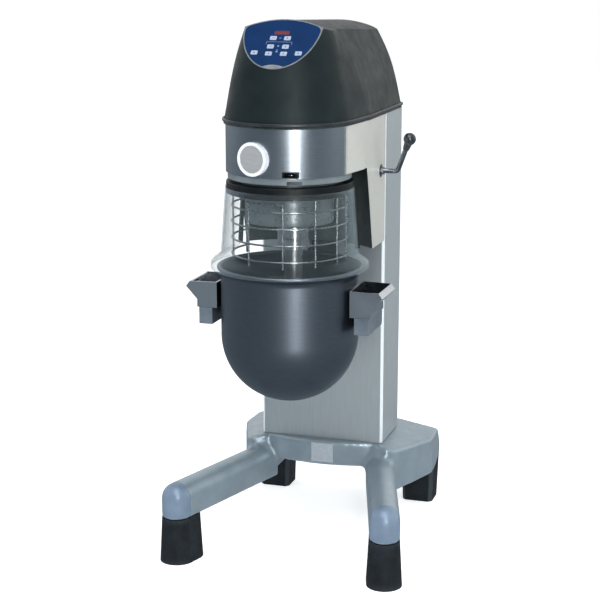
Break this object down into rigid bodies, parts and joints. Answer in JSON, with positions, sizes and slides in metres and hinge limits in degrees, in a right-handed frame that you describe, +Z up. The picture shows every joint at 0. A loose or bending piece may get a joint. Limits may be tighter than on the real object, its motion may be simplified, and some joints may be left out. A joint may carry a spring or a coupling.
{
  "type": "commercial stand mixer",
  "caption": "Floor-standing planetary mixer with a lifting bowl cradle, turning bowl guard, flat beater and sloping control panel.",
  "frame": {"origin": "on the floor, under the middle of the machine's width and depth", "axes": "+X to the machine's right as seen from the front, +Y to the back, +Z up"},
  "size_m": [0.586, 0.718, 1.2598],
  "materials": {
    "cast_grey": "metallic grey paint",
    "end_grey": "satin grey paint",
    "foot_rubber": "matt",
    "plain_steel": "machined",
    "plate": "satin",
    "column_steel": "brushed",
    "side_panel": "fine satin",
    "neck_grey": "satin",
    "hood_plastic": "satin",
    "trim_dark": "satin",
    "silver_trim": "satin",
    "panel_blue": "gloss",
    "display_red": "gloss",
    "key_grey": "satin",
    "badge_white": "gloss",
    "badge_face": "satin",
    "catch_black": "satin",
    "floor_grey": "satin",
    "frame_iron": "as cast",
    "gear_steel": "cut",
    "bearing_steel": "ground",
    "bronze": "turned",
    "motor_paint": "paint",
    "pulley_aluminium": "turned",
    "belt_rubber": "matt",
    "board_green": "lacquer",
    "guard_black": "satin",
    "guard_clear": "clear moulded sheet",
    "cage_wire": "bright",
    "bowl_steel": "satin spun",
    "handle_steel": "polished",
    "cradle_paint": "metallic grey paint",
    "carrier_paint": "satin",
    "hub_steel": "turned",
    "beater_alloy": "cast satin",
    "lever_chrome": "bright",
    "knob_black": "gloss"
  },
  "bodies": {
    "stand": {"base_casting": "cast_grey", "leg_ends": "end_grey", "front_feet": "foot_rubber", "rear_feet": "foot_rubber", "foot_studs": "plain_steel", "rating_plate": "plate", "column_shell": "column_steel", "column_back_cover": "column_steel", "back_cover_screws": "plain_steel", "column_frame": "frame_iron", "lift_rods": "bearing_steel", "head_casing": "column_steel", "neck_cover": "neck_grey", "lever_bushes": "bronze", "head_floor": "floor_grey", "head_frame": "frame_iron", "ring_gear": "gear_steel", "main_bearings": "bearing_steel", "badge_ring": "badge_white", "badge_disc": "badge_face", "guard_catch": "catch_black", "hood": "hood_plastic", "hood_bead": "trim_dark", "panel_bezel": "silver_trim", "control_panel": "panel_blue", "display_window": "display_red", "control_board": "board_green", "motor": "motor_paint", "drive_belt": "belt_rubber", "base_bolts": "plain_steel"},
    "guard": {"guard_ring": "guard_black", "guard_screen": "guard_clear", "guard_edges": "guard_black", "wire_cage": "cage_wire"},
    "carriage": {"bowl_cradle": "cradle_paint", "lift_carriage": "frame_iron", "carriage_bushes": "bronze", "lift_rack": "gear_steel"},
    "bowl": {"bowl": "bowl_steel", "bowl_handles": "handle_steel"},
    "lever": {"lift_lever": "lever_chrome", "lift_pinion": "gear_steel", "lever_knob": "knob_black"},
    "carrier": {"planet_carrier": "carrier_paint", "main_shaft": "gear_steel", "main_pulley": "pulley_aluminium", "tool_bearings": "bearing_steel"},
    "tool": {"planet_pinion": "gear_steel", "tool_shaft": "hub_steel", "beater": "beater_alloy"},
    "motor_rotor": {"motor_shaft": "gear_steel", "motor_pulley": "pulley_aluminium"},
    "timer_down_key": {"key_timer_down": "key_grey"},
    "timer_up_key": {"key_timer_up": "key_grey"},
    "speed_down_key": {"key_speed_down": "key_grey"},
    "speed_up_key": {"key_speed_up": "key_grey"},
    "stop_key": {"key_stop": "key_grey"},
    "bowl_down_key": {"key_bowl_down": "key_grey"},
    "bowl_up_key": {"key_bowl_up": "key_grey"},
    "start_key": {"key_start": "key_grey"}
  },
  "joints": [
    {"name": "guard_turn", "type": "hinge", "parent": "stand", "child": "guard", "pos_m": [0, -0.179, 0.89], "axis": [0, 0, 1], "range_deg": [0, 120]},
    {"name": "bowl_lift", "type": "slide", "parent": "stand", "child": "carriage", "axis": [0, 0, 1], "range_m": [-0.096, 0]},
    {"name": "lever_turn", "type": "hinge", "parent": "stand", "child": "lever", "pos_m": [0.155, 0.035, 0.902], "axis": [1, 0, 0], "range_deg": [-125.5, 0]},
    {"name": "bowl_removal", "type": "slide", "parent": "carriage", "child": "bowl", "axis": [0, 0, 1], "range_m": [0, 0.01]},
    {"name": "carrier_spin", "type": "hinge", "parent": "stand", "child": "carrier", "pos_m": [0, -0.179, 0.87], "axis": [0, 0, 1], "continuous": true},
    {"name": "tool_spin", "type": "hinge", "parent": "carrier", "child": "tool", "pos_m": [0.02507, -0.22907, 0.85], "axis": [0, 0, 1], "continuous": true},
    {"name": "motor_spin", "type": "hinge", "parent": "stand", "child": "motor_rotor", "pos_m": [0, 0.098, 1.1], "axis": [0, 0, 1], "continuous": true},
    {"name": "timer_down_press", "type": "slide", "parent": "stand", "child": "timer_down_key", "axis": [0, 0.7071, -0.7071], "range_m": [0, 0.0008], "stiffness_N_per_m": 600},
    {"name": "timer_up_press", "type": "slide", "parent": "stand", "child": "timer_up_key", "axis": [0, 0.7071, -0.7071], "range_m": [0, 0.0008], "stiffness_N_per_m": 600},
    {"name": "speed_down_press", "type": "slide", "parent": "stand", "child": "speed_down_key", "axis": [0, 0.7071, -0.7071], "range_m": [0, 0.0008], "stiffness_N_per_m": 600},
    {"name": "speed_up_press", "type": "slide", "parent": "stand", "child": "speed_up_key", "axis": [0, 0.7071, -0.7071], "range_m": [0, 0.0008], "stiffness_N_per_m": 600},
    {"name": "stop_press", "type": "slide", "parent": "stand", "child": "stop_key", "axis": [0, 0.7071, -0.7071], "range_m": [0, 0.0008], "stiffness_N_per_m": 600},
    {"name": "bowl_down_press", "type": "slide", "parent": "stand", "child": "bowl_down_key", "axis": [0, 0.7071, -0.7071], "range_m": [0, 0.0008], "stiffness_N_per_m": 600},
    {"name": "bowl_up_press", "type": "slide", "parent": "stand", "child": "bowl_up_key", "axis": [0, 0.7071, -0.7071], "range_m": [0, 0.0008], "stiffness_N_per_m": 600},
    {"name": "start_press", "type": "slide", "parent": "stand", "child": "start_key", "axis": [0, 0.7071, -0.7071], "range_m": [0, 0.0008], "stiffness_N_per_m": 600}
  ],
  "couplings": [
    {"joint": "lever_turn", "follows": "bowl_lift", "rad_per_m": 22.727},
    {"joint": "tool_spin", "follows": "carrier_spin", "ratio": -2.75},
    {"joint": "motor_spin", "follows": "carrier_spin", "ratio": 3}
  ]
}
